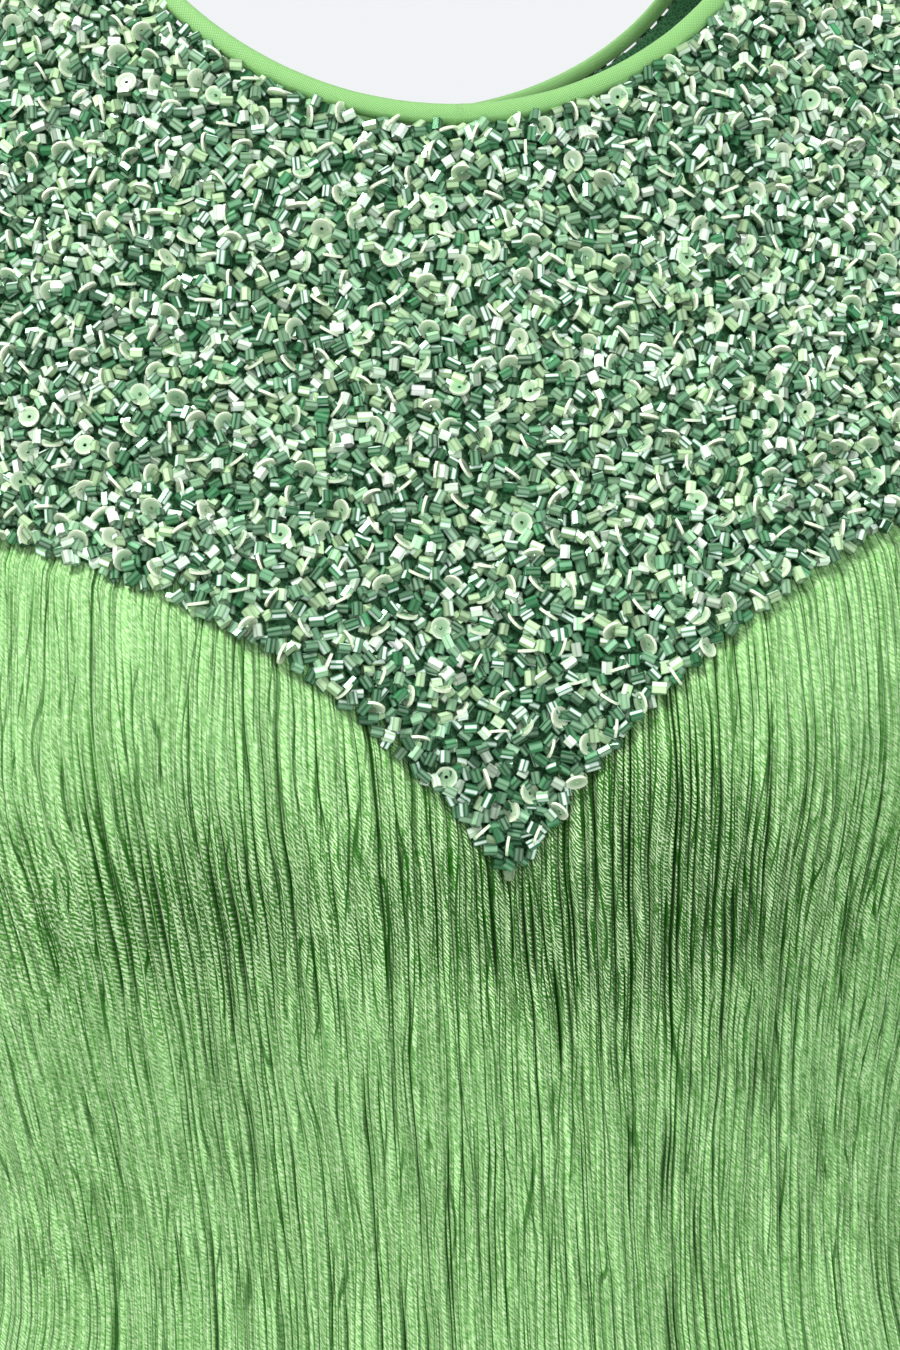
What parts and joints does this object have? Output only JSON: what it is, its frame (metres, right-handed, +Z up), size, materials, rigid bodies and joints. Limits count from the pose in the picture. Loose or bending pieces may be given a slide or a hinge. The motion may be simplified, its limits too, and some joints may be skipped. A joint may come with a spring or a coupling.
{
  "type": "embroidered gown",
  "caption": "Sleeveless floor-length gown with a beaded yoke ending in a V over crinkle-pleated chiffon, hollow, in its worn form, open at neck, armholes and hem.",
  "frame": {"origin": "midway between the two neck ends of the shoulder seams, where the wearer's shoulders hold the gown up", "axes": "+Z up, along the gown's length; -Y is the front; +X is the wearer's left"},
  "size_m": [0.7076, 0.6701, 1.4355],
  "materials": {
    "beaded_net": "net covered with glass beads",
    "beads": "lustred, gloss",
    "sequins": "pearl",
    "chiffon": "crinkled, soft sheen",
    "bias_strip": "plain weave"
  },
  "bodies": {
    "root": {"front_yoke": "beaded_net", "back_yoke": "beaded_net", "front_panel": "chiffon", "back_panel": "chiffon", "neck_binding": "bias_strip", "armhole_binding_left": "bias_strip", "armhole_binding_right": "bias_strip"}
  },
  "joints": []
}
